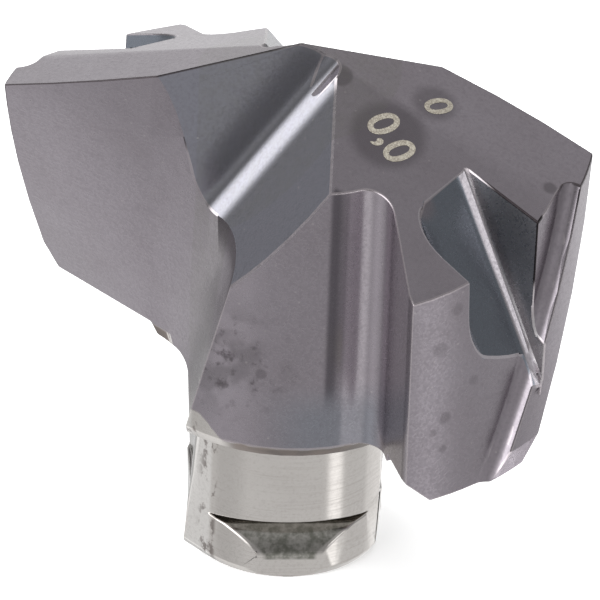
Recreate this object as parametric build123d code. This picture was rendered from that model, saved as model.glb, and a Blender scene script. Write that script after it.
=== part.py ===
from build123d import *
import os
from math import asin, atan2, cos, degrees, radians, sin, sqrt, tan

# One-piece carbide head of a drill with a replaceable tip, right-hand cutting.
# Millimetres, +Z along the drill axis towards the point, origin in the middle
# of the stub's flat bottom. The cutting edges run along X seen from above.

# Cutting diameter and the heights that everything hangs on
drill_diameter = 7.2
corner_height = 5.83        # outer cutting corners above the bottom of the foot
seat_height = 2.31          # flat underside of the wings, which sits on the holder

# Point
point_angle = 142.2         # between the two main edges
edge_ahead = 0.92           # main edges lie this far ahead of the centre line
primary_clearance = 7.0
secondary_clearance = 20.5

# Flutes: a straight rake that runs tangent into one round bottom
flute_lead = 46.75          # height of one full turn
flute_web = 1.11            # axis to the bottom of the flute
flute_radius = 2.0
flute_bottom_bearing = -118.0   # bearing of the bottom at the corner's height, left wing

# Land of each wing
margin_width = 0.55
body_clearance = 0.20
relief_fillet = 0.22
rim_bevel_radial = 0.12
rim_bevel_height = 0.39

# Core between the wings, and the upright drive face of each wing
core_radius = 1.90
boss_radius = 1.80
boss_depth = 0.16
drive_bearing = -55.0       # direction in which the drive face runs outwards
drive_offset = 0.76         # axis to the plane of the drive face
drive_fillet = 0.30
heel_bearing = -41.5        # where the drive face ends at the rim
heel_break = 0.14
heel_bevel_width = 0.34     # bevel on the lower corner of the heel
heel_bevel_height = 0.32

# Gash that thins the web at the point, one for each wing
gash_point = (-0.153, -0.150, 0.156)    # on the bottom line, height from the corners
gash_bearing = -147.1
gash_descent = 53.35
gash_roll = -47.1
gash_angle = 101.9
gash_root = 0.50

# Small scoop at the top of the gash that shortens the chisel edge
nick_point = (0.292, -0.247, 0.824)     # on its axis, height from the corners
nick_bearing = -134.2
nick_descent = 47.8
nick_radius = 0.20

# Coolant slot in the flank behind each edge
slot_point = (2.344, -0.316, 0.157)
slot_bearing = -10.97
slot_descent = 64.66
slot_roll = 4.0
slot_width = 1.10
slot_front_lean = 8.3
slot_floor_sink = 0.19      # floor's rear side below its front side, at the point above
slot_floor_rise = 0.165     # what the rear side gains on it for each millimetre down
slot_front_root = 0.05
slot_rear_root = 0.32

# Stub under the head and the foot that locks it in the holder
stub_radius = 1.25
stub_root = 0.20
cheek_bearing = -114.0      # upright facet that leaves the round front on a tangent
cheek_length = 0.60
stub_flat_bearing = 19.0    # helical flat on each side, its bearing at the bottom
stub_flat_offset = 1.163    # axis to flat
stub_flat_lead = 36.7
rim_chamfer_height = 0.11
rim_chamfer_depth = 0.07
shoulder_height = 0.83
foot_height = 0.675
lock_bearing = -62.0        # two rounded locking faces on the foot
lock_offset = 1.185         # axis to the upright land under the rounded face
lock_land = 0.30
lock_bulge = (1.115, 0.51)  # offset and height half way round the face
lock_crest = (0.95, 0.65)   # where it runs into the top of the foot
lock_depth = 0.76           # axis to where the undercut closes

# How far a cutter stands clear of what it cuts
over = 1.0

drill_radius = drill_diameter / 2
edge_slope = tan(radians(90 - point_angle / 2))
corner_x = sqrt(drill_radius**2 - edge_ahead**2)
corner_bearing = degrees(asin(edge_ahead / drill_radius))
primary_slope = tan(radians(primary_clearance))
secondary_slope = tan(radians(secondary_clearance))
tip_height = corner_height + edge_slope * corner_x - primary_slope * edge_ahead
reach = drill_radius + over


def polar(radius, bearing):
    """Point in plan at a radius and a bearing from +X."""
    return (radius * cos(radians(bearing)), radius * sin(radians(bearing)))


def both_sides(shape):
    """The shape and its copy half a turn round the axis."""
    return [shape, shape.rotate(Axis.Z, 180)]


def twisted(section, drawn_at, low, high, lead):
    """Cutter along a helix about the axis, from a section drawn at one height."""
    begin = 360 * (low - drawn_at) / lead
    start = section.face().rotate(Axis.Z, begin).moved(Location((0, 0, low)))
    turn = 360 * (high - low) / lead
    return Solid.extrude_linear_with_rotation(start, (0, 0, low), (0, 0, high - low), turn)


def groove_plane(point, bearing, descent, roll):
    """Plane across a straight groove: local Z runs down along it, local Y out of it."""
    level, drop = cos(radians(descent)), sin(radians(descent))
    along = Vector(level * cos(radians(bearing)), level * sin(radians(bearing)), -drop)
    upmost = (Vector(0, 0, 1) - along * along.Z).normalized()
    out = upmost.rotate(Axis((0, 0, 0), along), roll)
    origin = Vector(point[0], point[1], corner_height + point[2])
    return Plane(origin=origin, x_dir=out.cross(along), z_dir=along)


def blank():
    """Turned blank: head, boss and round stub."""
    boss_bottom = seat_height - boss_depth
    outline = Polyline(
        (0, 0),
        (stub_radius - rim_chamfer_depth, 0),
        (stub_radius, rim_chamfer_height),
        (stub_radius, boss_bottom),
        (boss_radius, boss_bottom),
        (core_radius, seat_height),
        (drill_radius - rim_bevel_radial, seat_height),
        (drill_radius, seat_height + rim_bevel_height),
        (drill_radius, tip_height + over),
        (0, tip_height + over),
        close=True,
    )
    face = make_face(Plane.XZ * outline)
    root = face.vertices().sort_by_distance((stub_radius, 0, boss_bottom))[0]
    return revolve(fillet(root, stub_root), Axis.Z)


def cheek():
    """Corner that the upright facet adds to one side of the round stub."""
    radial = Vector(*polar(1, cheek_bearing))
    start = radial * stub_radius
    end = start + Vector(radial.Y, -radial.X) * cheek_length
    wedge = extrude(make_face(Polyline((0, 0), start, end, close=True)), seat_height - boss_depth)
    slant = Plane(
        origin=radial * (stub_radius - rim_chamfer_depth),
        z_dir=radial * rim_chamfer_height - Vector(0, 0, rim_chamfer_depth),
    )
    return wedge - slant * Box(reach, reach, over, align=(Align.CENTER, Align.CENTER, Align.MIN))


def flank_cutters():
    """Half-spaces above the primary and secondary flank of each wing."""
    size = 4 * drill_radius
    cutters = []
    for slope in (primary_slope, secondary_slope):
        normal = Vector(edge_slope, -slope, 1)
        plane = Plane(origin=(0, 0, tip_height), z_dir=normal)
        slab = plane * Box(size, size, size, align=(Align.CENTER, Align.CENTER, Align.MIN))
        cutters += both_sides(slab)
    return cutters


def flute_section():
    """Void in front of the left wing, at the height of the corners."""
    corner = Vector(-corner_x, -edge_ahead)
    centre = Vector(*polar(flute_web + flute_radius, flute_bottom_bearing))
    sight = centre - corner
    run = sqrt(sight.length**2 - flute_radius**2)
    heading = atan2(sight.Y, sight.X) + asin(flute_radius / sight.length)
    rake = Vector(cos(heading), sin(heading))
    tangent = corner + rake * run
    start = corner - rake * over
    # the round bottom stops in the open, outside the core
    far = core_radius + over / 2
    base = centre.length
    swing = (far**2 - base**2 - flute_radius**2) / (2 * base * flute_radius)
    lean = radians(flute_bottom_bearing) + atan2(sqrt(1 - swing**2), swing)
    end = centre + Vector(cos(lean), sin(lean)) * flute_radius
    middle = centre.normalized() * flute_web
    outside = [
        end,
        end.normalized() * 2 * reach,
        centre.normalized() * 3 * reach,
        start.normalized() * 2 * reach,
        start,
    ]
    return make_face([
        Line(start, tangent),
        ThreePointArc(tangent, middle, end),
        Polyline(*outside),
    ])


def relief_section():
    """Void outside the body of the right wing, behind its margin."""
    body_radius = drill_radius - body_clearance
    trail = corner_bearing - degrees(margin_width / drill_radius)
    last = 2 * heel_bearing     # in the open, well past the heel
    ring = make_face([
        CenterArc((0, 0), body_radius, last, trail - last),
        Line(polar(body_radius, trail), polar(reach, trail)),
        CenterArc((0, 0), reach, last, trail - last),
        Line(polar(reach, last), polar(body_radius, last)),
    ])
    root = ring.vertices().sort_by_distance((*polar(body_radius, trail), 0))[0]
    return fillet(root, relief_fillet)


def drive_cutter():
    """Upright void between the core and the drive face of the right wing."""
    heading = Vector(*polar(1, drive_bearing))
    side = Vector(-heading.Y, heading.X)
    foot_point = side * drive_offset
    inner_run = sqrt(core_radius**2 - drive_offset**2)
    inner = foot_point + heading * inner_run
    outer_run = sqrt((drill_radius - body_clearance)**2 - drive_offset**2)
    outer = foot_point + heading * (outer_run - heel_break)
    rim = Vector(*polar(drill_radius - body_clearance, heel_bearing))
    beyond = rim + (rim - outer).normalized() * 2 * over
    first = 2 * drive_bearing   # in the open, where the flute has cut already
    arc = CenterArc((0, 0), core_radius, first, degrees(atan2(inner.Y, inner.X)) - first)
    far = 2 * reach
    lines = [
        arc,
        Line(arc @ 1, outer),
        Line(outer, beyond),
        Line(beyond, polar(far, drive_bearing)),
        Line(polar(far, drive_bearing), polar(far, first)),
        Line(polar(far, first), arc @ 0),
    ]
    face = make_face(lines)
    root = face.vertices().sort_by_distance((inner.X, inner.Y, 0))[0]
    face = fillet(root, drive_fillet)
    low = seat_height - over
    return extrude(Plane.XY.offset(low) * face, tip_height + over - low)


def heel_bevel_cutter():
    """Slanted cut off the lower corner of the right wing's heel."""
    rim = drill_radius - body_clearance
    slope = heel_bevel_height / heel_bevel_width
    wedge = Polyline(
        (-over, seat_height + heel_bevel_height + slope * over),
        (heel_bevel_width + over, seat_height - slope * over),
        (-over, seat_height - slope * over),
        close=True,
    )
    radial = Vector(*polar(1, heel_bearing))
    across = Plane(origin=radial * rim, x_dir=Vector(-radial.Y, radial.X), z_dir=radial)
    return extrude(across * make_face(wedge), over, both=True)


def gash_cutter():
    """Rounded V along the gash of the left wing."""
    depth = 2 * drill_radius
    half = depth * tan(radians(gash_angle / 2))
    vee = make_face(Polyline((0, 0), (half, depth), (-half, depth), close=True))
    root = vee.vertices().sort_by_distance((0, 0, 0))[0]
    vee = fillet(root, gash_root)
    plane = groove_plane(gash_point, gash_bearing, gash_descent, gash_roll)
    return extrude(plane * vee, depth, both=True)


def nick_cutter():
    """Scoop that thins the web a second time, at the top of the left wing's gash."""
    plane = groove_plane(nick_point, nick_bearing, nick_descent, 0)
    return extrude(plane * Circle(nick_radius), over, both=True)


def slot_section(run):
    """Outline across the slot, at a distance down it. The floor warps along the way."""
    depth = drill_radius
    return Polyline(
        (0, 0, run),
        (-slot_width, slot_floor_rise * run - slot_floor_sink, run),
        (-slot_width, depth, run),
        (depth * tan(radians(slot_front_lean)), depth, run),
        close=True,
    )


def slot_cutter():
    """Coolant slot in the flank of the right wing."""
    ends = [Wire(slot_section(run).edges()) for run in (-over, drill_radius)]
    body = Solid.make_loft(ends, ruled=True)
    floor = body.faces().sort_by(Axis.Y)[0]
    front_root = floor.edges().sort_by(Axis.X)[-1]
    body = fillet(front_root, slot_front_root)
    floor = body.faces().sort_by(Axis.Y)[0]
    rear_root = floor.edges().sort_by(Axis.X)[0]
    body = fillet(rear_root, slot_rear_root)
    plane = groove_plane(slot_point, slot_bearing, slot_descent, slot_roll)
    return plane * body


def stub_flat_cutter():
    """Helical flat on one side of the stub."""
    beyond = Rectangle(over, 2 * reach, align=(Align.MIN, Align.CENTER))
    section = beyond.moved(Location((stub_flat_offset, 0))).rotate(Axis.Z, stub_flat_bearing)
    return twisted(section, 0, -over, seat_height - boss_depth, stub_flat_lead)


def lock_cutter():
    """Undercut with a rounded locking face, across one side of the foot."""
    land = (lock_offset, lock_land)
    slope = (shoulder_height - foot_height) / (stub_radius - lock_depth)
    ceiling = foot_height + slope * (reach - lock_depth)
    profile = make_face([
        Line((lock_offset, -over), land),
        ThreePointArc(land, lock_bulge, lock_crest),
        Line(lock_crest, (lock_depth, foot_height)),
        Line((lock_depth, foot_height), (reach, ceiling)),
        Line((reach, ceiling), (reach, -over)),
        Line((reach, -over), (lock_offset, -over)),
    ])
    return extrude(Plane.XZ * profile, reach, both=True).rotate(Axis.Z, lock_bearing)


def drill_tip():
    high = tip_height + over
    flute = twisted(flute_section(), corner_height, shoulder_height, high, flute_lead)
    relief = twisted(relief_section(), corner_height, seat_height - over, high, flute_lead)
    head = blank() + both_sides(cheek())
    head -= flank_cutters()
    head -= both_sides(flute)
    head -= both_sides(relief)
    head -= both_sides(drive_cutter())
    head -= both_sides(heel_bevel_cutter())
    head -= both_sides(gash_cutter())
    head -= both_sides(nick_cutter())
    head -= both_sides(slot_cutter())
    head -= both_sides(stub_flat_cutter())
    head -= both_sides(lock_cutter())
    return head


os.makedirs("parts", exist_ok=True)
export_step(drill_tip(), "parts/drill_tip.step")
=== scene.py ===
import math
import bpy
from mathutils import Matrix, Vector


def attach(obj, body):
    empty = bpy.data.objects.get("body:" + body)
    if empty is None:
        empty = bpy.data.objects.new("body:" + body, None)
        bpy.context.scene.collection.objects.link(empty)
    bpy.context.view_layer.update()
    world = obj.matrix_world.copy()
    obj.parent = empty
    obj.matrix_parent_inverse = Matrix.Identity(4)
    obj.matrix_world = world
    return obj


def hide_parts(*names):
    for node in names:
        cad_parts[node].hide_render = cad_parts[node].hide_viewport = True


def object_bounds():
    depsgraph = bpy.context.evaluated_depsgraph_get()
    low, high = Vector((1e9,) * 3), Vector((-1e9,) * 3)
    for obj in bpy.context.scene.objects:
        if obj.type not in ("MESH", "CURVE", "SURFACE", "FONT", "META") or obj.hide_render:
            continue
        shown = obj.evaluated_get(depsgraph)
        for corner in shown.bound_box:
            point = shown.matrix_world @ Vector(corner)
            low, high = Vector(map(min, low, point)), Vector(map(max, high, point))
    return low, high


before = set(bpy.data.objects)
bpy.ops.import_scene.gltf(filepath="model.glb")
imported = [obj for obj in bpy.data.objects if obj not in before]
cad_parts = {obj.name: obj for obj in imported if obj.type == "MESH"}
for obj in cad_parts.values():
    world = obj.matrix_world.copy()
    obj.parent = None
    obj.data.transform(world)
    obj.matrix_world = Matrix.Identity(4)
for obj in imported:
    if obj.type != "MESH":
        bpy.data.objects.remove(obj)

from types import SimpleNamespace

import bmesh
import bpy
from mathutils import Matrix, Vector

size_at_load = [list(v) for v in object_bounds()]

MM = 0.001
scene = bpy.context.scene

# sizes of the ground head in millimetres, as in the part
CORNER_HEIGHT = 5.83   # above the bottom of the foot
DRILL_RADIUS = 3.6
FLUTE_LEAD = 46.75
MARGIN_WIDTH = 0.55
EDGE_AHEAD = 0.92      # how far the cutting edge runs ahead of the axis
STEP_FILLET = 0.22     # hollow between the margin and the body
HOLLOW_RADIUS = 3.62   # of that hollow's centre line about the axis
RIM = (3.38, 3.62)     # the body's relief, step and margin lie between these radii
GASH_ANGLE = 101.9     # between the walls of the gash, in degrees
SLOT_WIDTH = 1.10

# slopes of the flanks: along the cutting edge, and behind it on the first and second flank
EDGE_SLOPE = math.tan(math.radians(90 - 142.2 / 2))
FIRST_SLOPE = math.tan(math.radians(7))
SECOND_SLOPE = math.tan(math.radians(20.5))

EDGE_BREAK = 0.020     # width of the broken edges, in millimetres


# Node helpers
def add(tree, kind, **values):
    """A node with its sockets set by name or number; a linked value is a socket."""
    node = tree.nodes.new(kind)
    for key, value in values.items():
        if key.startswith("in_"):
            name = key[3:]
            socket = node.inputs[int(name)] if name.isdigit() else node.inputs[name.replace("_", " ")]
            put(tree, socket, value)
        else:
            setattr(node, key, value)
    return node


def put(tree, socket, value):
    if isinstance(value, bpy.types.NodeSocket):
        tree.links.new(value, socket)
    else:
        socket.default_value = value


def maths(tree, operation, *values):
    node = add(tree, "ShaderNodeMath", operation=operation)
    for socket, value in zip(node.inputs, values):
        put(tree, socket, value)
    return node.outputs[0]


def product(tree, first, *others):
    for other in others:
        first = maths(tree, "MULTIPLY", first, other)
    return first


def vectors(tree, operation, *values):
    node = add(tree, "ShaderNodeVectorMath", operation=operation)
    for socket, value in zip(node.inputs, values):
        put(tree, socket, value)
    return node.outputs["Value" if operation in ("DOT_PRODUCT", "DISTANCE", "LENGTH") else "Vector"]


def scaled(tree, vector, amount):
    return add(tree, "ShaderNodeVectorMath", operation="SCALE", in_0=vector, in_Scale=amount).outputs[0]


def split(tree, vector):
    return add(tree, "ShaderNodeSeparateXYZ", in_0=vector).outputs


def ramp(tree, value, low, high, to_low=0.0, to_high=1.0):
    """A smooth step between two values, which may fall as well as rise."""
    return add(tree, "ShaderNodeMapRange", interpolation_type="SMOOTHSTEP", in_Value=value, in_From_Min=low,
               in_From_Max=high, in_To_Min=to_low, in_To_Max=to_high).outputs["Result"]


def window(tree, value, start, full, ease, end):
    """1 between two values, fading to 0 at both ends."""
    return product(tree, ramp(tree, value, start, full), ramp(tree, value, end, ease))


def noise(tree, vector, scale, detail, roughness=0.5):
    return add(tree, "ShaderNodeTexNoise", in_Vector=vector, in_Scale=scale, in_Detail=detail,
               in_Roughness=roughness).outputs[0]


def mark_of(tree, name):
    return add(tree, "ShaderNodeAttribute", attribute_name=name).outputs["Fac"]


def mix(tree, factor, first, second):
    return add(tree, "ShaderNodeMix", data_type="RGBA", in_Factor=factor, in_6=first, in_7=second).outputs[2]


def srgb(red, green, blue):
    """Linear colour from the 0-255 values that a screen shows."""
    def linear(v):
        v /= 255
        return v / 12.92 if v <= 0.04045 else ((v + 0.055) / 1.055) ** 2.4
    return (linear(red), linear(green), linear(blue), 1.0)


# Head mesh
def soft_edge(edge):
    """True where the surface runs on: a shallow bend, or a facet line of a small fillet."""
    shallow, sharp = math.radians(20), math.radians(42)
    if len(edge.link_faces) != 2:
        return True
    signed = edge.calc_face_angle_signed(0.0)
    if abs(signed) < shallow:
        return True
    if abs(signed) > sharp:
        return False
    along = (edge.verts[1].co - edge.verts[0].co).normalized()
    for face in edge.link_faces:
        for other in face.edges:
            if other is edge or len(other.link_faces) != 2:
                continue
            line = (other.verts[1].co - other.verts[0].co).normalized()
            width = (other.verts[0].co - edge.verts[0].co).cross(along).length
            bend = other.calc_face_angle_signed(0.0)
            fillet = bend * signed > 0 and math.radians(6) < abs(bend) < sharp
            if abs(line.dot(along)) > 0.97 and 0.01 * MM < width < 0.25 * MM and fillet:
                return True
    return False


def from_axis(spot):
    return math.hypot(spot.x, spot.y)


def rim_normal(spot, on_step):
    """True normal on the outer surfaces: round the axis, but for the helical step's hollow."""
    side = 1.0 if spot.x > 0 else -1.0
    turn = math.tau / FLUTE_LEAD
    twist = turn * (spot.z - CORNER_HEIGHT)
    bearing = math.atan2(spot.y * side, spot.x * side) - twist
    margin_end = math.asin(EDGE_AHEAD / DRILL_RADIUS) - MARGIN_WIDTH / DRILL_RADIUS
    centre = margin_end - math.asin(STEP_FILLET / HOLLOW_RADIUS)
    radius = from_axis(spot)
    if not on_step or bearing < centre:
        return Vector((spot.x, spot.y, 0)) / radius
    inward = Vector((HOLLOW_RADIUS * math.cos(centre) - radius * math.cos(bearing),
                     HOLLOW_RADIUS * math.sin(centre) - radius * math.sin(bearing), 0))
    normal = (Matrix.Rotation(twist, 3, "Z") @ inward * side).normalized()
    normal.z = -turn * (spot.x * normal.y - spot.y * normal.x)
    return normal.normalized()


def on_rim(polygon, spots):
    """True where a face is part of the outer surfaces between the relief and the margin."""
    out = Vector((polygon.center.x, polygon.center.y, 0)).normalized()
    near = all(RIM[0] < from_axis(spot) < RIM[1] for spot in spots)
    return near and polygon.normal.dot(out) > 0.15 and abs(polygon.normal.z) < 0.6


def smooth_normals(mesh):
    """Corner normals led by the larger faces, so flats stay flat and fillets run into them."""
    margin_from = 3.585
    limit = math.cos(math.radians(48))
    weight = [(polygon.area / MM ** 2) ** 1.5 for polygon in mesh.polygons]
    at_vertex = [[] for _ in mesh.vertices]
    for polygon in mesh.polygons:
        for index in polygon.vertices:
            at_vertex[index].append(polygon)
    normals = []
    for polygon in mesh.polygons:
        spots = [mesh.vertices[index].co / MM for index in polygon.vertices]
        if on_rim(polygon, spots):
            middle = sum(map(from_axis, spots)) / len(spots)
            normals.extend(rim_normal(spot, middle < margin_from) for spot in spots)
            continue
        own = polygon.normal.copy()
        for index in polygon.vertices:
            total = own * 1e-9
            for other in at_vertex[index]:
                if other.normal.dot(own) > limit:
                    total += other.normal * weight[other.index]
            normals.append(total.normalized() if total.length > 0 else own)
    mesh.normals_split_custom_set(normals)


def whole_faces(mesh):
    """Merges the loose triangles into whole flat faces and marks the edges to be broken."""
    edit = bmesh.new()
    edit.from_mesh(mesh)
    bmesh.ops.remove_doubles(edit, verts=edit.verts, dist=1e-7)
    bmesh.ops.dissolve_limit(
        edit, angle_limit=math.radians(0.4), verts=edit.verts, edges=edit.edges, delimit={"NORMAL"})
    weights = edit.edges.layers.float.new("bevel_weight_edge")
    for edge in edit.edges:
        edge[weights] = 0.0 if soft_edge(edge) else 1.0
    edit.to_mesh(mesh)
    edit.free()


def smooth_head():
    """The CAD solid again with its flat faces whole and its edges just broken."""
    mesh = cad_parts["drill_tip"].data.copy()
    mesh.materials.clear()
    for name in ("whole", "broken"):
        mesh.materials.append(bpy.data.materials.new(name))
    for polygon in mesh.polygons:
        polygon.material_index = 0
    whole_faces(mesh)
    head = bpy.data.objects.new("ground_head", mesh)
    scene.collection.objects.link(head)
    for polygon in mesh.polygons:
        polygon.use_smooth = True
    bevel = head.modifiers.new("edge_break", "BEVEL")
    bevel.width = EDGE_BREAK * MM
    bevel.segments = 2
    bevel.limit_method = "WEIGHT"
    bevel.use_clamp_overlap = False
    bevel.harden_normals = False
    bevel.miter_outer = "MITER_ARC"
    bevel.material = 1
    graph = bpy.context.evaluated_depsgraph_get()
    done = bpy.data.meshes.new_from_object(
        head.evaluated_get(graph), preserve_all_data_layers=True, depsgraph=graph)
    head.modifiers.clear()
    head.data = done
    low, high = size_at_load
    for vertex in done.vertices:
        vertex.co = [min(max(v, a), b) for v, a, b in zip(vertex.co, low, high)]
    smooth_normals(done)
    return head


# Zones of the head
def groove_frame(point, bearing, descent, roll):
    """Origin and local axes of a straight groove: x across it, y out of it, z down along it."""
    bearing, descent = math.radians(bearing), math.radians(descent)
    level = Vector((math.cos(bearing), math.sin(bearing), 0)) * math.cos(descent)
    along = level - Vector((0, 0, math.sin(descent)))
    upmost = (Vector((0, 0, 1)) - along * along.z).normalized()
    out = Matrix.Rotation(math.radians(roll), 3, along) @ upmost
    across = out.cross(along)
    origin = Vector((point[0], point[1], CORNER_HEIGHT + point[2]))
    return SimpleNamespace(origin=origin, across=across, out=out, axes=Matrix((across, out, along)))


# point in millimetres with its height above the corners; bearing, descent and roll in degrees
GASH = groove_frame((-0.153, -0.150, 0.156), -147.1, 53.35, -47.1)
SLOT = groove_frame((2.344, -0.316, 0.157), -10.97, 64.66, 4.0)


def in_gash(spot):
    """True on the rounded V of the gash; a spot is in millimetres."""
    x, y, _ = GASH.axes @ (spot - GASH.origin)
    half_angle = math.radians(GASH_ANGLE / 2)
    wall = abs(x) * math.cos(half_angle) - y * math.sin(half_angle)
    return -0.20 < wall < 0.03 and -0.05 < y < 3.4 and spot.z > 4.2


def in_slot(spot):
    """True on the floor, front wall and end of the coolant slot."""
    floor_slope, floor_start, front_lean = 0.165, 0.19, 0.146
    x, y, z = SLOT.axes @ (spot - SLOT.origin)
    floor = (floor_slope * z - floor_start) * (-x / SLOT_WIDTH)
    front = front_lean * y
    inside = -1.13 < x < front + 0.03 and floor - 0.04 < y < 1.05 and -0.3 < z < 3.1
    end = x < -1.06 or (x < -0.72 and y < floor + 0.27)
    return inside and (y < floor + 0.06 or x > front - 0.03 or end)


def mark_zones(mesh):
    """Marks each face corner: on the gash, on the slot, which half, and on a broken edge."""
    names = ("gash", "slot", "half", "break")
    for name in names:
        mesh.attributes.new(name, "FLOAT", "CORNER")
    marks = [mesh.attributes[name].data for name in names]
    for polygon in mesh.polygons:
        spots = [mesh.vertices[index].co / MM for index in polygon.vertices]
        turned = [Vector((-spot.x, -spot.y, spot.z)) for spot in spots]
        here = [all(map(test, spots)) for test in (in_gash, in_slot)]
        there = [all(map(test, turned)) for test in (in_gash, in_slot)]
        values = (float(here[0] or there[0]), float(here[1] or there[1]),
                  -1.0 if any(there) else 1.0, float(polygon.material_index))
        for loop in polygon.loop_indices:
            for mark, value in zip(marks, values):
                mark[loop].value = value


# Materials
COLOUR = {name: srgb(*rgb) for name, rgb in {
    "plum": (146, 139, 145), "pale plum": (157, 151, 158), "ground plum": (112, 104, 112),
    "warm cast": (156, 150, 138), "teal cast": (124, 136, 146),
    "gash": (140, 140, 149), "slot floor": (137, 143, 153), "slot front painted light": (196, 193, 195),
    "slot root painted highlight": (196, 191, 197), "bloom": (60, 55, 58), "smudge": (80, 77, 78), "mottle": (78, 72, 76),
    "speck": (196, 190, 190), "core painted dark reflection": (78, 74, 80), "core painted light band": (158, 151, 158),
    "core painted highlight": (205, 197, 204),
    "worn edge and painted highlight": (182, 174, 178), "cutting edge": (78, 70, 72), "slot lip": (44, 40, 42),
    "carbide": (208, 203, 199), "pale carbide": (220, 216, 212), "turned line": (184, 178, 173),
    "cheek": (236, 233, 230), "stain": (112, 102, 98), "grey grain": (176, 170, 166),
    "undercut dark": (128, 128, 120), "brown": (104, 88, 80), "dark brown": (80, 66, 60),
    "etched": (206, 200, 186), "etched pit": (168, 160, 148), "etched grain": (140, 132, 124),
}.items()}

# dark blooms of the coat: centre, inner and outer radius in millimetres, strength
BLOOMS = [
    ((1.38, -0.47, 6.26), 0.36, 0.56, 0.40),
    ((1.66, 0.27, 6.38), 0.18, 0.36, 0.38),
    ((0.57, -0.10, 6.68), 0.13, 0.18, 0.42),
    ((3.30, 0.04, 5.78), 0.06, 0.11, 0.42),
    ((0.43, -1.85, 3.36), 0.05, 0.09, 0.35),
    ((2.79, -1.94, 4.45), 0.07, 0.13, 0.22),
    ((2.85, -1.85, 3.45), 0.05, 0.11, 0.30),
    ((2.76, -1.98, 3.28), 0.03, 0.07, 0.25),
    ((2.84, -1.86, 3.01), 0.03, 0.08, 0.28),
    ((3.05, -1.50, 3.85), 0.04, 0.09, 0.20),
    ((2.91, -1.76, 4.96), 0.05, 0.12, 0.22),
]


def grain_group():
    """Fine ground grain and a slow cloud, shared by the carbide and the etched marks."""
    group = bpy.data.node_groups.new("carbide_grain", "ShaderNodeTree")
    group.interface.new_socket("Millimetres", in_out="INPUT", socket_type="NodeSocketVector")
    group.interface.new_socket("Fine", in_out="OUTPUT", socket_type="NodeSocketFloat")
    group.interface.new_socket("Cloud", in_out="OUTPUT", socket_type="NodeSocketFloat")
    mm = group.nodes.new("NodeGroupInput").outputs["Millimetres"]
    out = group.nodes.new("NodeGroupOutput")
    put(group, out.inputs["Fine"], noise(group, mm, 24.0, 4.0, 0.6))
    put(group, out.inputs["Cloud"], noise(group, mm, 1.4, 3.0))
    return group


def new_material(name):
    material = bpy.data.materials.new(name)
    material.use_nodes = True
    material.node_tree.nodes.clear()
    return material, material.node_tree


def finish_material(tree, **sockets):
    shader = add(tree, "ShaderNodeBsdfPrincipled", **sockets)
    add(tree, "ShaderNodeOutputMaterial", in_Surface=shader.outputs[0])


def millimetres(tree):
    return scaled(tree, tree.nodes.new("ShaderNodeTexCoord").outputs["Object"], 1000.0)


def lay(tree, under, name, mask, strength=1.0):
    """A named colour laid over another one where the mask is 1."""
    return mix(tree, mask if strength == 1.0 else product(tree, mask, strength), under, COLOUR[name])


def spot_mask(tree, mm, centre, inner, outer):
    """1 inside a ball, fading to 0, in millimetres."""
    return ramp(tree, vectors(tree, "DISTANCE", mm, centre), outer, inner)


def across_groove(tree, at, groove):
    """Distance across a groove from its bottom line, in millimetres, on either half."""
    local = vectors(tree, "SUBTRACT", vectors(tree, "MULTIPLY", at.mm, at.facing), tuple(groove.origin))
    return vectors(tree, "DOT_PRODUCT", local, tuple(groove.across))


def places(tree, grain):
    """What the head's finish is painted by: coordinates in millimetres, marks, grain and facing."""
    at = SimpleNamespace(mm=millimetres(tree))
    at.x, at.y, at.height = split(tree, at.mm)
    group = add(tree, "ShaderNodeGroup", node_tree=grain, in_0=at.mm)
    at.fine, at.cloud = group.outputs
    at.level = vectors(tree, "MULTIPLY", at.mm, (1, 1, 0))
    at.radius = vectors(tree, "LENGTH", at.level)
    at.gash, at.slot, half, at.broken = (mark_of(tree, name) for name in ("gash", "slot", "half", "break"))
    at.facing = add(tree, "ShaderNodeCombineXYZ", in_X=half, in_Y=half, in_Z=1.0).outputs[0]
    at.gash_across = across_groove(tree, at, GASH)
    at.slot_across = across_groove(tree, at, SLOT)
    # the same on both halves: less than 0 toward the core's streaks, more toward the cheek facets
    at.turn = product(tree, at.x, ramp(tree, at.y, -0.1, 0.1, -1.0, 1.0))
    at.aside = product(tree, at.turn, -1.0)
    at.out_y = maths(tree, "ABSOLUTE", at.y)
    at.normal = tree.nodes.new("ShaderNodeNewGeometry").outputs["Normal"]
    at.upright = ramp(tree, maths(tree, "ABSOLUTE", split(tree, at.normal)[2]), 0.85, 0.75)
    return at


def coat_extent(tree, at):
    """Where the coat covers the carbide, its brown line above the seat, and how that line wanders."""
    wander = product(tree, maths(tree, "SUBTRACT", noise(tree, at.mm, 3.5, 4.0), 0.5), 0.10)
    lift = product(tree, ramp(tree, at.turn, -0.05, 0.40, 0.0, 0.28), ramp(tree, at.radius, 1.85, 1.875))
    edge = maths(tree, "ADD", maths(tree, "SUBTRACT", at.height, lift), wander)
    in_flute = product(tree, ramp(tree, at.turn, 0.78, 0.92), ramp(tree, at.height, 0.8, 2.1))
    coat = maths(tree, "MAXIMUM", ramp(tree, edge, 2.275, 2.315), in_flute)
    brown = product(tree, ramp(tree, maths(tree, "ADD", at.height, wander), 2.10, 2.16),
                    ramp(tree, at.turn, 0.10, -0.15), maths(tree, "SUBTRACT", 1.0, coat))
    return coat, brown, wander


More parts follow.
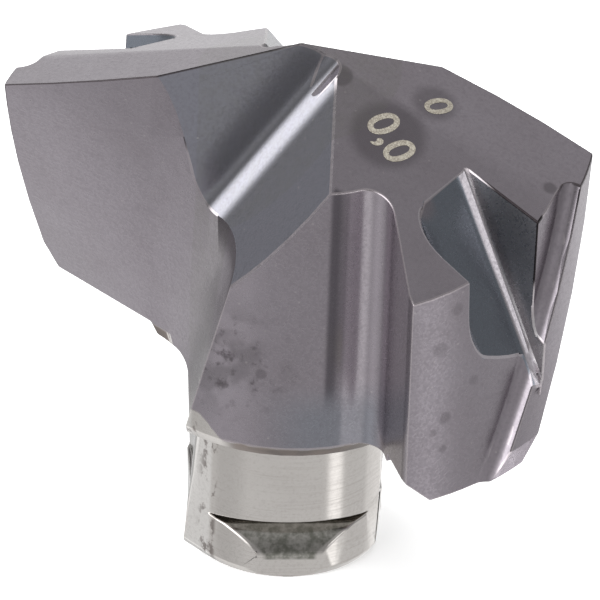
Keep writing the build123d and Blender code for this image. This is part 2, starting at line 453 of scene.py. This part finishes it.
def core_painted_reflections_and_cast(tree, at, colour):
    """The core's painted reflections: an upright painted dark streak, a painted light band and a painted
    highlight beside it; and the blue cast at its foot.
    """
    # painted light: a lighter band on the core, laid over a dark reflection to lift it
    band = product(tree, window(tree, at.aside, 1.25, 1.31, 2.1, 2.3),
                   ramp(tree, at.out_y, 0.85, 0.95), at.upright)
    colour = lay(tree, colour, "core painted light band", product(tree, band, ramp(tree, at.radius, 2.5, 2.42)))
    # painted reflection: an upright dark streak painted into the core's coat
    dark = product(tree, window(tree, at.aside, 1.10, 1.16, 1.25, 1.31), ramp(tree, at.height, 2.7, 3.2),
                   ramp(tree, at.out_y, 1.40, 1.48))
    colour = lay(tree, colour, "core painted dark reflection", dark, 0.75)
    # painted highlight: a light streak painted beside the dark one
    gleam = product(tree, window(tree, at.aside, 1.27, 1.33, 1.48, 1.56), band)
    colour = lay(tree, colour, "core painted highlight", gleam, 0.80)
    low = product(tree, ramp(tree, at.height, 3.3, 2.7), ramp(tree, at.aside, 0.3, 1.1),
                  ramp(tree, at.radius, 2.2, 2.0), ramp(tree, at.out_y, 0.9, 1.1))
    return lay(tree, colour, "teal cast", low, 0.45)


def coat_colour(tree, at):
    """Plum grey, bluer in the ground grooves, with the blooms, smudges and specks of use, and painted light
    on the slot's front wall and root and on the core.
    """
    colour = mix(tree, at.cloud, COLOUR["plum"], COLOUR["pale plum"])
    colour = lay(tree, colour, "warm cast", spot_mask(tree, at.mm, (1.46, -1.24, 3.75), 0.15, 0.55), 0.45)
    colour = lay(tree, colour, "gash", at.gash)
    # painted light: the slot's front wall is given a much lighter colour than its floor
    walls = lay(tree, COLOUR["slot floor"], "slot front painted light", ramp(tree, at.slot_across, -0.04, -0.01))
    colour = mix(tree, at.slot, colour, walls)
    # painted highlight: a light band along the slot's root, where its bright valley line lies
    root = product(tree, window(tree, at.slot_across, -0.16, -0.12, -0.03, 0.0), at.slot)
    colour = lay(tree, colour, "slot root painted highlight", root)
    for centre, inner, outer, strength in BLOOMS:
        colour = lay(tree, colour, "bloom", spot_mask(tree, at.mm, centre, inner, outer), strength)
    colour = core_painted_reflections_and_cast(tree, at, colour)
    near_flute = maths(tree, "ADD", spot_mask(tree, at.mm, (0.02, -1.90, 3.4), 0.15, 0.95), 0.12)
    mottle = product(tree, ramp(tree, noise(tree, at.mm, 7.0, 5.0, 0.65), 0.52, 0.68), near_flute)
    colour = lay(tree, colour, "mottle", mottle, 0.65)
    smudge = product(tree, ramp(tree, noise(tree, at.mm, 2.6, 3.0), 0.42, 0.62),
                     spot_mask(tree, at.mm, (-0.10, -1.90, 3.5), 0.2, 1.15))
    colour = lay(tree, colour, "smudge", smudge, 0.42)
    cells = add(tree, "ShaderNodeTexVoronoi", in_Vector=at.mm, in_Scale=4.2, in_Randomness=1.0)
    colour = lay(tree, colour, "speck", ramp(tree, cells.outputs["Distance"], 0.075, 0.045), 0.30)
    return lay(tree, colour, "ground plum", ramp(tree, at.fine, 0.42, 0.72, 0.0, 0.20))


def margin_hollow(tree, at):
    """1 in the hollow of the margin's step, which is duller than the land beside it."""
    outward = vectors(tree, "DOT_PRODUCT", at.normal, at.level)
    return product(tree, window(tree, at.radius, 3.402, 3.415, 3.575, 3.595),
                   ramp(tree, outward, 1.2, 1.8), at.upright)


def worn_and_highlit_edges(tree, at, colour, hollow):
    """Broken edges: lighter from worn coat and a painted highlight along them, but dark at the cutting edges
    and along the slot's lip.
    """
    broken = product(tree, at.broken, maths(tree, "SUBTRACT", 1.0, hollow))
    cutting = product(tree, ramp(tree, product(tree, at.y, maths(tree, "SIGN", at.x)), 0.05, 0.20),
                      ramp(tree, at.height, 5.4, 5.6))
    lip = product(tree, window(tree, at.slot_across, 0.02, 0.05, 0.20, 0.25), ramp(tree, at.height, 4.6, 4.8))
    # the light edge colour is partly worn coat and partly a painted highlight along the broken edges
    worn = mix(tree, cutting, COLOUR["worn edge and painted highlight"], COLOUR["cutting edge"])
    worn = lay(tree, worn, "slot lip", lip)
    return mix(tree, product(tree, broken, ramp(tree, lip, 0.0, 1.0, 0.75, 1.0)), colour, worn)


def bare_colour(tree, at, lines):
    """Bare carbide: warm light grey with turned lines, a painted highlight on the cheek facet, and its
    stains.
    """
    colour = mix(tree, at.cloud, COLOUR["carbide"], COLOUR["pale carbide"])
    colour = lay(tree, colour, "turned line", ramp(tree, lines, 0.45, 0.75, 0.0, 0.30))
    # painted highlight: the cheek facet is given a brighter colour for the light band it shows
    colour = lay(tree, colour, "cheek", ramp(tree, at.turn, 0.44, 0.50))
    drawn = vectors(tree, "MULTIPLY", at.mm, (1.0, 1.0, 0.6))
    stains = product(tree, ramp(tree, noise(tree, drawn, 5.5, 5.0, 0.65), 0.52, 0.60),
                     window(tree, at.turn, 0.36, 0.42, 0.55, 0.72))
    colour = lay(tree, colour, "stain", stains, 0.75)
    return lay(tree, colour, "grey grain", ramp(tree, at.fine, 0.45, 0.75, 0.0, 0.25))


def foot_undercut_dark(tree, at):
    """1 in the foot's undercut, where the colour is painted darker, unevenly."""
    return product(tree, ramp(tree, at.radius, 1.235, 1.215), ramp(tree, at.height, 0.72, 0.58, 0.25, 1.0),
                   ramp(tree, at.height, 0.24, 0.28),
                   ramp(tree, noise(tree, at.mm, 9.0, 5.0, 0.7), 0.35, 0.65, 0.45, 1.0))


def ground_normal(tree, at):
    """The normal with the gash's rounded root and the soft root of the slot."""
    def in_world(vector):
        return add(tree, "ShaderNodeVectorTransform", vector_type="VECTOR", convert_from="OBJECT",
                   convert_to="WORLD", in_0=vector).outputs[0]

    def toward(axis, amount):
        return scaled(tree, vectors(tree, "MULTIPLY", tuple(axis), at.facing), amount)

    swing = product(tree, ramp(tree, at.gash_across, -0.06, 0.50, 39.0, -22.0), math.pi / 180)
    root = vectors(tree, "ADD", toward(GASH.out, maths(tree, "COSINE", swing)),
                   toward(GASH.across, maths(tree, "SINE", swing)))
    pull = scaled(tree, vectors(tree, "SUBTRACT", in_world(root), at.normal), at.gash)
    lean = toward(SLOT.across, product(tree, at.slot, ramp(tree, at.slot_across, -0.26, -0.07, 0.0, -0.53)))
    leaned = vectors(tree, "ADD", at.normal, in_world(lean))
    return vectors(tree, "NORMALIZE", vectors(tree, "ADD", leaned, pull))


def coated_carbide(grain):
    material, tree = new_material("coated_carbide")
    at = places(tree, grain)
    coat, brown, wander = coat_extent(tree, at)
    hollow = margin_hollow(tree, at)
    lines = noise(tree, vectors(tree, "MULTIPLY", at.mm, (0.5, 0.5, 22.0)), 2.0, 4.0)

    coated = worn_and_highlit_edges(tree, at, coat_colour(tree, at), hollow)
    colour = mix(tree, coat, bare_colour(tree, at, lines), coated)
    # the foot's undercut is painted a darker grey-green
    colour = lay(tree, colour, "undercut dark", foot_undercut_dark(tree, at))
    line_colour = mix(tree, ramp(tree, wander, -0.01, 0.01), COLOUR["brown"], COLOUR["dark brown"])
    colour = mix(tree, product(tree, brown, 0.85), colour, line_colour)

    rough = ramp(tree, at.fine, 0.25, 0.75, 0.25, 0.33)
    rough = maths(tree, "SUBTRACT", rough, product(tree, at.gash, 0.10))
    rough = maths(tree, "ADD", rough, product(tree, hollow, 0.22))
    turned = ramp(tree, lines, 0.35, 0.70, 0.13, 0.20)
    rough = add(tree, "ShaderNodeMix", in_0=coat, in_2=turned, in_3=rough).outputs[0]

    relief = maths(tree, "ADD", product(tree, at.fine, ramp(tree, coat, 0.0, 1.0, 0.10, 0.50)),
                   product(tree, lines, ramp(tree, coat, 0.0, 1.0, 0.35, 0.0)))
    bump = add(tree, "ShaderNodeBump", in_Height=relief, in_Strength=0.30, in_Distance=0.004 * MM,
               in_Normal=ground_normal(tree, at))
    finish_material(tree, in_Base_Color=colour, in_Metallic=1.0, in_Roughness=rough,
                    in_Normal=bump.outputs[0])
    return material


def etched(grain):
    """Matt pale pits of the etching, with the carbide's grain."""
    material, tree = new_material("etched_mark")
    mm = millimetres(tree)
    fine = add(tree, "ShaderNodeGroup", node_tree=grain, in_0=mm).outputs["Fine"]
    pits = noise(tree, mm, 40.0, 2.0)
    colour = mix(tree, ramp(tree, pits, 0.35, 0.65), COLOUR["etched"], COLOUR["etched pit"])
    colour = lay(tree, colour, "etched grain", ramp(tree, fine, 0.4, 0.7, 0.0, 0.3))
    bump = add(tree, "ShaderNodeBump", in_Height=pits, in_Strength=0.5, in_Distance=0.006 * MM)
    finish_material(tree, in_Base_Color=colour, in_Metallic=0.75, in_Roughness=0.5, in_Normal=bump.outputs[0])
    return material


# Pieces
def make_head(grain):
    head = smooth_head()
    mark_zones(head.data)
    head.data.materials.clear()
    head.data.materials.append(coated_carbide(grain))
    for polygon in head.data.polygons:
        polygon.material_index = 0
    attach(head, "root")
    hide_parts("drill_tip")


def flat_figures(name, text, tall):
    """Plain figures as a flat mesh, so many millimetres tall."""
    capital_share = 0.70
    font = bpy.data.curves.new(name, "FONT")
    font.body = text
    font.align_x = "CENTER"
    font.align_y = "CENTER"
    font.size = tall / capital_share
    font.offset = 0.010
    curve = bpy.data.objects.new(name + "_curve", font)
    scene.collection.objects.link(curve)
    graph = bpy.context.evaluated_depsgraph_get()
    mesh = bpy.data.meshes.new_from_object(curve.evaluated_get(graph))
    bpy.data.objects.remove(curve)
    return mesh


def etched_mark(name, text, tall, x, y, slope, along, material):
    """Figures lying just on a flank of the right wing; the slope is the flank's behind its edge."""
    above_flank = 0.003
    edge_reach = math.sqrt(DRILL_RADIUS ** 2 - EDGE_AHEAD ** 2)
    tip = CORNER_HEIGHT + EDGE_SLOPE * edge_reach - FIRST_SLOPE * EDGE_AHEAD
    spot = Vector((x, y, tip - EDGE_SLOPE * x + slope * y))
    normal = Vector((EDGE_SLOPE, -slope, 1)).normalized()
    x_axis = (Vector(along) - normal * Vector(along).dot(normal)).normalized()
    turn = Matrix((x_axis, normal.cross(x_axis), normal)).transposed().to_4x4()
    mesh = flat_figures(name, text, tall)
    mesh.transform(Matrix.Scale(MM, 4) @ Matrix.Translation(spot + normal * above_flank) @ turn)
    mesh.materials.clear()
    mesh.materials.append(material)
    mark = bpy.data.objects.new(name, mesh)
    scene.collection.objects.link(mark)
    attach(mark, "root")


def make_floor():
    half = 0.6
    mesh = bpy.data.meshes.new("floor")
    corners = [(-half, -half, 0), (half, -half, 0), (half, half, 0), (-half, half, 0)]
    mesh.from_pydata(corners, [], [(0, 1, 2, 3)])
    floor = bpy.data.objects.new("floor", mesh)
    scene.collection.objects.link(floor)
    material, tree = new_material("pale_floor")
    finish_material(tree, in_Base_Color=(0.9, 0.9, 0.9, 1), in_Roughness=0.9,
                    in_Emission_Color=(1, 1, 1, 1), in_Emission_Strength=0.45)
    mesh.materials.append(material)
    floor.visible_glossy = False


# Light
def direction(bearing, elevation):
    """Unit vector from degrees; a bearing of 0 is along X and 90 along Y."""
    b, e = math.radians(bearing), math.radians(elevation)
    return Vector((math.cos(b) * math.cos(e), math.sin(b) * math.cos(e), math.sin(e)))


# soft cards round the object in degrees: bearing, elevation, half width, softness; brightness added
CARDS = [
    (-7, -33, 6, 4, 0.75),
    (-116, 12, 27, 17, 2.9),
    (-30, 4, 11, 6, 1.5),
    (-172, -60, 16, 12, 0.30),
    (-130, -33, 10, 10, -0.10),
    (100, -20, 30, 22, 0.28),
    (64, -33, 12, 10, 0.20),
    (122, 2, 16, 14, 0.45),
    (78, 51, 16, 14, 0.15),
    (140, -36, 11, 9, -0.30),
    (165, -36, 9, 7, 0.25),
]


def make_world():
    """Bright below, dim at the horizon, soft above, with the cards; white to the camera alone."""
    darkest = 0.03
    world = bpy.data.worlds.new("studio")
    scene.world = world
    world.use_nodes = True
    tree = world.node_tree
    tree.nodes.clear()
    sight = vectors(tree, "NORMALIZE", tree.nodes.new("ShaderNodeTexCoord").outputs["Generated"])
    level = split(tree, sight)[2]
    total = maths(tree, "ADD", ramp(tree, level, -0.12, -0.42, 0.30, 0.68),
                  ramp(tree, level, 0.30, 0.75, 0.0, 0.18))
    for bearing, elevation, half, soft, bright in CARDS:
        near = vectors(tree, "DOT_PRODUCT", sight, direction(bearing, elevation))
        outer = math.cos(math.radians(half + soft))
        inner = math.cos(math.radians(max(half - soft, 1)))
        total = maths(tree, "ADD", total, ramp(tree, near, outer, inner, 0.0, bright))
    total = maths(tree, "MAXIMUM", total, darkest)
    studio = add(tree, "ShaderNodeBackground", in_Color=(1, 1, 1, 1), in_Strength=total)
    white = add(tree, "ShaderNodeBackground", in_Color=(1, 1, 1, 1), in_Strength=1.0)
    camera_ray = tree.nodes.new("ShaderNodeLightPath").outputs["Is Camera Ray"]
    pick = add(tree, "ShaderNodeMixShader", in_0=camera_ray, in_1=studio.outputs[0], in_2=white.outputs[0])
    add(tree, "ShaderNodeOutputWorld", in_Surface=pick.outputs[0])


def area_light(name, bearing, elevation, size, watts):
    """A round lamp 300 mm away that looks at the middle of the head and isn't mirrored in it."""
    light = bpy.data.lights.new(name, "AREA")
    light.shape = "DISK"
    light.size = size
    light.energy = watts
    lamp = bpy.data.objects.new(name, light)
    away = direction(bearing, elevation)
    lamp.location = Vector((0, 0, 3.5 * MM)) + away * 0.30
    lamp.rotation_mode = "QUATERNION"
    lamp.rotation_quaternion = (-away).to_track_quat("-Z", "Y")
    lamp.visible_glossy = False
    scene.collection.objects.link(lamp)


# Camera
def make_camera():
    """The photograph's view, from its azimuth, elevation and roll in degrees, 300 mm away."""
    azimuth, elevation, roll = (math.radians(v) for v in (22.98, 32.27, 2.24))
    frame_width = 600
    distance = 300
    focal = 83.03 * distance           # in pixels, from the pixels per millimetre at the corners
    axis_at = Vector((298.2, 118.9))   # where the frame shows the axis at the corners' height
    away = Vector((math.sin(azimuth), -math.cos(azimuth), 0)) * math.cos(elevation)
    back = away + Vector((0, 0, math.sin(elevation)))
    right = Vector((math.cos(azimuth), math.sin(azimuth), 0))
    up = back.cross(right)
    across = right * math.cos(roll) + up * math.sin(roll)
    upward = up * math.cos(roll) - right * math.sin(roll)
    offset = (Vector((frame_width / 2, frame_width / 2)) - axis_at) / focal
    z_axis = (back - across * offset.x + upward * offset.y).normalized()
    x_axis = upward.cross(z_axis).normalized()
    basis = Matrix((x_axis, z_axis.cross(x_axis), z_axis)).transposed().to_4x4()
    data = bpy.data.cameras.new("camera")
    data.sensor_width = 36
    data.lens = focal / frame_width * data.sensor_width
    data.clip_start = 0.05
    data.clip_end = 2.0
    camera = bpy.data.objects.new("camera", data)
    target = Vector((0, 0, CORNER_HEIGHT * MM))
    camera.matrix_world = Matrix.Translation(target + back * distance * MM) @ basis
    scene.collection.objects.link(camera)
    scene.camera = camera


GRAIN = grain_group()
make_head(GRAIN)
MARK = etched(GRAIN)
etched_mark("size_mark", "0,0", 0.40, 1.41, -0.49, SECOND_SLOPE, (0.36, -0.25, -0.17), MARK)
etched_mark("small_mark", "0", 0.36, 1.70, 0.25, FIRST_SLOPE, (0.30, -0.24, -0.15), MARK)
make_floor()
make_world()
area_light("overhead", -40, 75, 0.25, 0.9)
area_light("left", 170, 40, 0.20, 0.35)
make_camera()
scene.view_settings.view_transform = "Standard"
